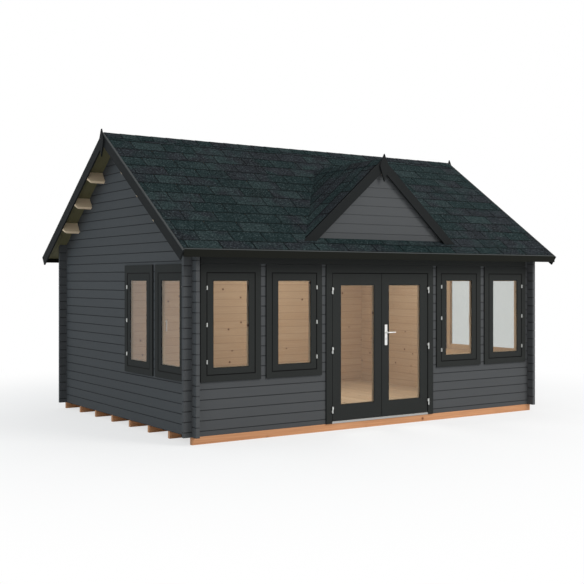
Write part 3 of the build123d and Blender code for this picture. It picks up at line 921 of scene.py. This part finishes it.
class CABIN_OT_strips(bpy.types.Operator):
    """Fix the head board over the front windows and the thin strips on the roof's edges."""

    bl_idname = "cabin.strips"
    bl_label = "Fix the roof strips"

    def execute(self, context):
        plain_coat("strip_coat", context.scene.cabin_paint.strip, roughness=0.5)
        sheet, turned_down = 0.0014, 0.009
        self.eaves(sheet, turned_down)
        self.head_board()
        self.verges(sheet, turned_down)
        return {"FINISHED"}

    def eaves(self, sheet, turned_down):
        """Strips that lie on the fascias' top edges and turn down their outer faces."""
        build = bmesh.new()
        left, right = roof_span
        top = fascia_high.z
        for side in (-1, 1):
            inner, edge = side * eave_y, side * -fascia_low.y
            outer = edge + side * sheet
            block(build, (left, inner, top), (right, edge, top + sheet))
            block(build, (left, edge, top - turned_down), (right, outer, top + sheet))
        new_piece("eave_strips", build, "strip_coat")

    def head_board(self):
        """The board over the front windows and the door, its top behind the fascia."""
        build = bmesh.new()
        gap, behind_fascia, bevel = 0.002, 0.04, 0.002
        low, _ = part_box("front_left_window_frames")
        _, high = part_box("front_right_window_frames")
        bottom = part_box("door_frame")[1].z + gap
        opposite = (high.x, wall_face_y, fascia_low.z + behind_fascia)
        block(build, (low.x, low.y, bottom), opposite, bevel)
        new_piece("front_head_board", build, "frame_paint")

    def verges(self, sheet, turned_down):
        """Strips that ride on the barge boards' top edges and turn down their outer faces."""
        build = bmesh.new()
        top = 0.002 * math.cos(roof_pitch)
        past_ridge, short = 0.02, 0.001
        length_down = barge_high.y / math.cos(roof_pitch) - short
        for side in (-1, 1):
            part = bmesh.new()
            for end in (-1, 1):
                inner, face = end * barge_low.x, end * barge_high.x
                outer = face + end * sheet
                far = (outer, length_down, top + sheet)
                block(part, (inner, -past_ridge, top), far)
                block(part, (face, -past_ridge, top - turned_down), far)
            bmesh.ops.transform(part, matrix=main_slope(side), verts=part.verts)
            trim_slope(part, side, barge_high.y)
            mesh = to_mesh("verge_part", part)
            build.from_mesh(mesh)
            bpy.data.meshes.remove(mesh)
        new_piece("verge_strips", build, "strip_coat")


def window_places():
    """Each window's matrix and the side of its hinges, both in the window's own frame."""
    for group, (axis, face, turn, way) in window_walls.items():
        low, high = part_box(f"{group}_window_panes")
        inset = (high[axis] - low[axis] - window_spacing) / 2
        for side, centre in ((-1, low[axis] + inset), (1, high[axis] - inset)):
            spot = (centre, face, 0.0) if axis == 0 else (face, centre, 0.0)
            yield Matrix.Translation(spot) @ Matrix.Rotation(turn, 4, "Z"), side * way


def glazing(seals, beads, matrix, half, bottom, top, front, fittings):
    """Rubber seal before a pane and a pine bead behind it, in the pane's own frame."""
    size = (2 * half, top - bottom)
    middle = (bottom + top) / 2
    seal_depth, bead_depth = 0.0012, 0.012
    outside = matrix @ Matrix.Translation((0.0, front, middle)) @ upright
    ring(seals, outside, *size, fittings.seal, seal_depth)
    back = front + pane_thickness + bead_depth
    inside = matrix @ Matrix.Translation((0.0, back, middle)) @ upright
    ring(beads, inside, *size, fittings.bead, bead_depth)


class CABIN_OT_windows(bpy.types.Operator):
    """Fit seals, beads, hinges and inside handles to the eight windows, and a dark ring round each
    sash as painted shade for the gap between sash and frame.
    """

    bl_idname = "cabin.windows"
    bl_label = "Fit the windows"

    def execute(self, context):
        fittings = context.scene.cabin_fittings
        seals, beads, hinges, handles = (bmesh.new() for _ in range(4))
        gap_shade_back, gap_shade_depth, hinge_past = -0.0165, 0.0021, 0.0005
        middle = Matrix.Translation((0.0, gap_shade_back, (sash_bottom + sash_top) / 2))
        size = (2 * sash_half + fittings.gasket, sash_top - sash_bottom + fittings.gasket)
        for matrix, hinge_side in window_places():
            pane = (glass_half, glass_bottom, glass_top, pane_front)
            glazing(seals, beads, matrix, *pane, fittings)
            # Painted shade: a dark ring stands for the shade in the gap round the sash.
            ring(seals, matrix @ middle @ upright, *size, fittings.gasket, gap_shade_depth)
            for height in window_hinge_heights:
                self.hinge(hinges, matrix, hinge_side * (sash_half + hinge_past), height, fittings)
            self.handle(handles, matrix, -hinge_side * (sash_half + glass_half) / 2)
        # Seals, and painted shade in the gaps round sashes and door leaves.
        plain_coat("rubber_seal", context.scene.cabin_paint.rubber, roughness=0.6)
        bare_wood("bead_pine", "Z", context.scene.cabin_pine)
        new_piece("window_seals_and_gap_shade", seals, "rubber_seal")
        new_piece("window_beads", beads, "bead_pine")
        new_piece("window_hinges", hinges, "bright_zinc")
        new_piece("window_handles", handles, "satin_steel")
        return {"FINISHED"}

    def hinge(self, build, matrix, x, z, fittings):
        """A barrel in three knuckles before a flat leaf."""
        radius, half = fittings.hinge_radius, fittings.window_hinge / 2
        barrel_y = frame_front - radius * 0.9
        knuckle, gap = 2 * half / 3, 0.0003
        leaf_faces = (frame_front - 0.0014, frame_front + 0.0001)
        made = []
        for number in range(3):
            low = z - half + number * knuckle
            start, end = (x, barrel_y, low + gap), (x, barrel_y, low + knuckle - gap)
            made += rod(build, start, end, radius, segments=12, bevel=0.0008)
        made += bar(build, x, leaf_faces, (z - half, z + half), half=0.0085, bevel=0.0004)
        bmesh.ops.transform(build, matrix=matrix, verts=made)

    def handle(self, build, matrix, x):
        """A backplate, a neck and a grip that points down."""
        z = window_handle_height
        plate_face = sash_back + 0.008
        neck = (x, plate_face, z), (x, sash_back + 0.034, z)
        grip_faces, grip_ends = (sash_back + 0.032, sash_back + 0.044), (z - 0.115, z + 0.014)
        plate_faces, plate_ends = (sash_back, plate_face), (z - 0.06, z + 0.06)
        made = bar(build, x, plate_faces, plate_ends, half=0.014, bevel=0.002)
        made += rod(build, *neck, radius=0.008, segments=12, bevel=0.001)
        made += bar(build, x, grip_faces, grip_ends, half=0.010, bevel=0.003)
        bmesh.ops.transform(build, matrix=matrix, verts=made)


class CABIN_OT_doors(bpy.types.Operator):
    """Fit seals and beads to the doors, and the lever, the lock and the handle's screws."""

    bl_idname = "cabin.doors"
    bl_label = "Fit the doors"

    def execute(self, context):
        fittings = context.scene.cabin_fittings
        rebate = 0.008
        for name in ("left", "right"):
            low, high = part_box(f"{name}_door_pane")
            seals, beads = bmesh.new(), bmesh.new()
            matrix = Matrix.Translation(((low.x + high.x) / 2, 0.0, 0.0))
            half = (high.x - low.x) / 2 - rebate
            pane = (half, low.z + rebate, high.z - rebate, low.y)
            glazing(seals, beads, matrix, *pane, fittings)
            body = f"{name}_door"
            new_piece(f"{name}_door_seals", seals, "rubber_seal", body)
            new_piece(f"{name}_door_beads", beads, "bead_pine", body)
            self.gasket(name, body, fittings)
        self.lever(fittings)
        self.lock()
        return {"FINISHED"}

    def gasket(self, name, body, fittings):
        """Dark strips on a leaf's hinged edge and top as painted shade for the gaps round it, and a
        seal between the two leaves.
        """
        low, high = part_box(f"{name}_door_leaf")
        width = fittings.gasket / 2
        front, back = low.y - 0.0008, low.y + 0.001
        meeting_front, meeting_back = low.y + 0.003, low.y + 0.011
        hinged = low.x if name == "left" else high.x - width
        build = bmesh.new()
        # Painted shade in the gaps at the hinged edge and at the top.
        block(build, (hinged, front, low.z), (hinged + width, back, high.z))
        block(build, (low.x, front, high.z - width), (high.x, back, high.z))
        if name == "left":
            opposite = (high.x + fittings.meeting, meeting_back, high.z)
            block(build, (high.x, meeting_front, low.z), opposite)
        new_piece(f"{name}_door_gap_shade_strips", build, "rubber_seal", body)

    def lever(self, fittings):
        """A round bar bent twice, with the grips' ends rounded off."""
        build = bmesh.new()
        radius, bend = fittings.lever_radius, fittings.lever_bend
        outer, inner = lever_low.y + radius, lever_high.y - radius
        grip_end, bend_x = lever_high.x, lever_low.x + radius + bend
        circle = bmesh.ops.create_circle(build, cap_ends=True, radius=radius, segments=16)["verts"]
        place = Matrix.Translation((grip_end, outer, lever_z))
        place = place @ Matrix.Rotation(quarter_turn, 4, "Y")
        bmesh.ops.transform(build, matrix=place, verts=circle)
        tip = list(circle[0].link_faces)
        tip = self.run(build, tip, (bend_x - grip_end, 0.0, 0.0))
        tip = self.turn(build, tip, (bend_x, outer + bend, lever_z))
        tip = self.run(build, tip, (0.0, inner - outer - 2 * bend, 0.0))
        tip = self.turn(build, tip, (bend_x, inner - bend, lever_z))
        self.run(build, tip, (grip_end - bend_x, 0.0, 0.0))
        bmesh.ops.remove_doubles(build, verts=build.verts, dist=merge_distance)
        ease(build, rims(build.edges), radius * 0.5, segments=3)
        body, replaced = "door_lever", ["door_lever"]
        new_piece("bent_lever", build, "satin_steel", body, replaced)

    def run(self, build, faces, step):
        """Draw the bar's end out in a straight line and return the new end."""
        drawn = bmesh.ops.extrude_face_region(build, geom=faces)["geom"]
        bmesh.ops.translate(build, vec=step, verts=only(bmesh.types.BMVert, drawn))
        return only(bmesh.types.BMFace, drawn)

    def turn(self, build, faces, centre):
        """Bend the bar's end a quarter turn round a centre and return the new end."""
        geometry = list({part for face in faces for part in (*face.verts, *face.edges, face)})
        up, still = (0.0, 0.0, 1.0), (0.0, 0.0, 0.0)
        bent = bmesh.ops.spin(
            build, geom=geometry, cent=centre, axis=up, dvec=still, angle=-quarter_turn, steps=6
        )["geom_last"]
        return only(bmesh.types.BMFace, bent)

    def lock(self):
        """Roses, key cylinders and screws on both backplates."""
        build = bmesh.new()
        x = (plates_low.x + plates_high.x) / 2
        key_z = lever_z - 0.072
        key_ends, proud = (key_z - 0.022, key_z - 0.004), 0.004
        screw, inset = (0.0014, 0.0045, 12, 0.0005), 0.022
        rounds = (  # height, how far it stands out, radius, segments, bevel
            (lever_z, proud, 0.0155, 24, 0.001),
            (key_z, proud, 0.0085, 20, 0.0008),
            (plates_low.z + inset, *screw),
            (plates_high.z - inset, *screw),
        )
        for face, way in ((plates_low.y, -1), (plates_high.y, 1)):
            for z, reach, radius, segments, bevel in rounds:
                rod(build, (x, face, z), (x, face + way * reach, z), radius, segments, bevel)
            bar(build, x, (face, face + way * proud), key_ends, half=0.005, bevel=0.0012)
        new_piece("lock_fittings", build, "bright_zinc", "right_door")


class CABIN_OT_studio(bpy.types.Operator):
    """Set the camera, the lamps, the floor and the white surround."""

    bl_idname = "cabin.studio"
    bl_label = "Set up the studio"

    def execute(self, context):
        scene = context.scene
        studio = scene.cabin_studio
        camera = put("camera", bpy.data.cameras.new("camera"))
        camera.location = studio.eye
        camera.rotation_euler = (quarter_turn, 0.0, -studio.turn)
        camera.data.lens = studio.lens
        camera.data.shift_y = studio.rise
        scene.camera = camera
        scene.view_settings.view_transform = "Standard"
        self.floor()
        self.sky(scene, studio.sky)
        for name, size, watts, tint, place, target in (
            ("key", 7.0, studio.key, (1.0, 0.98, 0.95), (6.0, -14.0, 11.0), (0.0, 0.0, 1.5)),
            ("cool", 7.0, studio.shade, (0.45, 0.8, 1.0), (-14.0, 2.0, 6.0), (-2.0, 0.0, 1.5)),
            ("room", 1.5, studio.room, (1.0, 1.0, 1.0), (0.7, 0.0, 2.7), (0.7, 0.0, 0.0)),
        ):
            self.lamp(name, size, watts, tint, Vector(place), Vector(target))
        return {"FINISHED"}

    def floor(self):
        """A pale floor that fades to white and keeps the cabin's shadow."""
        build = bmesh.new()
        bmesh.ops.create_circle(build, cap_ends=True, radius=60.0, segments=64)
        bmesh.ops.translate(build, vec=(0.0, 0.0, -0.001), verts=build.verts)
        floor = put("studio_floor", to_mesh("studio_floor", build))
        finish = Finish("studio_floor", Roughness=0.9, Base_Color=(0.88, 0.88, 0.88, 1.0))
        white = {"Color": (1.0, 1.0, 1.0, 1.0), "Strength": 1.0}
        glow = finish.node("ShaderNodeEmission", inputs=white)
        out = finish.node(
            "ShaderNodeVectorMath", {"operation": "LENGTH"}, {0: finish.place()}, output="Value"
        )
        near_share = 0.65
        whitened = finish.seen() * (out.ramp(3.0, 8.0) * (1.0 - near_share) + near_share)
        plain = Field(finish, finish.shader.outputs[0])
        floor.data.materials.append(finish.surface(whitened, plain, glow))

    def sky(self, scene, strength):
        """Even light all round, and plain white to the eye and in reflections."""
        world = bpy.data.worlds.new("studio_world")
        scene.world = world
        world.use_nodes = True
        world.node_tree.nodes.clear()
        sky = Nodes(world.node_tree)
        light, white = (
            sky.node("ShaderNodeBackground", inputs={"Color": tint, "Strength": amount})
            for tint, amount in (((0.95, 0.98, 1.0, 1.0), strength), ((1.0, 1.0, 1.0, 1.0), 1.0))
        )
        mixed = sky.node("ShaderNodeMixShader", inputs={0: sky.seen(), 1: light, 2: white})
        sky.node("ShaderNodeOutputWorld", inputs={"Surface": mixed})

    def lamp(self, name, size, watts, tint, place, target):
        """A square soft lamp aimed at a point."""
        light = bpy.data.lights.new(name, "AREA")
        light.shape = "SQUARE"
        light.size = size
        light.energy = watts
        light.color = tint
        lamp = put(name, light)
        lamp.location = place
        lamp.rotation_euler = (target - place).to_track_quat("-Z", "Y").to_euler()


groups = {
    "cabin_paint": CabinPaint,
    "cabin_pine": CabinPine,
    "cabin_purlins": CabinLitPurlins,
    "cabin_bearers": CabinBearers,
    "cabin_roof": CabinRoof,
    "cabin_fittings": CabinFittings,
    "cabin_studio": CabinStudio,
}
steps = (
    CABIN_OT_paint,
    CABIN_OT_shingles,
    CABIN_OT_ridge,
    CABIN_OT_boards,
    CABIN_OT_strips,
    CABIN_OT_windows,
    CABIN_OT_doors,
    CABIN_OT_studio,
)


class CABIN_PT_panel(bpy.types.Panel):
    """The cabin's steps and settings in the sidebar."""

    bl_idname = "CABIN_PT_panel"
    bl_label = "Garden log cabin"
    bl_space_type = "VIEW_3D"
    bl_region_type = "UI"
    bl_category = "Cabin"

    def draw(self, context):
        layout = self.layout
        for step in steps:
            layout.operator(step.bl_idname)
        for name, group in groups.items():
            box = layout.box()
            for key in group.__annotations__:
                box.prop(getattr(context.scene, name), key)


def register():
    """Make the settings, the operators and the panel known."""
    for name, group in groups.items():
        bpy.utils.register_class(group)
        setattr(bpy.types.Scene, name, bpy.props.PointerProperty(type=group))
    for step in steps:
        bpy.utils.register_class(step)
    bpy.utils.register_class(CABIN_PT_panel)


def unregister():
    """Take the panel, the operators and the settings away again."""
    bpy.utils.unregister_class(CABIN_PT_panel)
    for step in reversed(steps):
        bpy.utils.unregister_class(step)
    for name, group in reversed(list(groups.items())):
        delattr(bpy.types.Scene, name)
        bpy.utils.unregister_class(group)


def main():
    """Run every step in order."""
    register()
    bpy.ops.cabin.paint()
    bpy.ops.cabin.shingles()
    bpy.ops.cabin.ridge()
    bpy.ops.cabin.boards()
    bpy.ops.cabin.strips()
    bpy.ops.cabin.windows()
    bpy.ops.cabin.doors()
    bpy.ops.cabin.studio()
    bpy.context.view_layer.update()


if __name__ == "__main__":
    main()
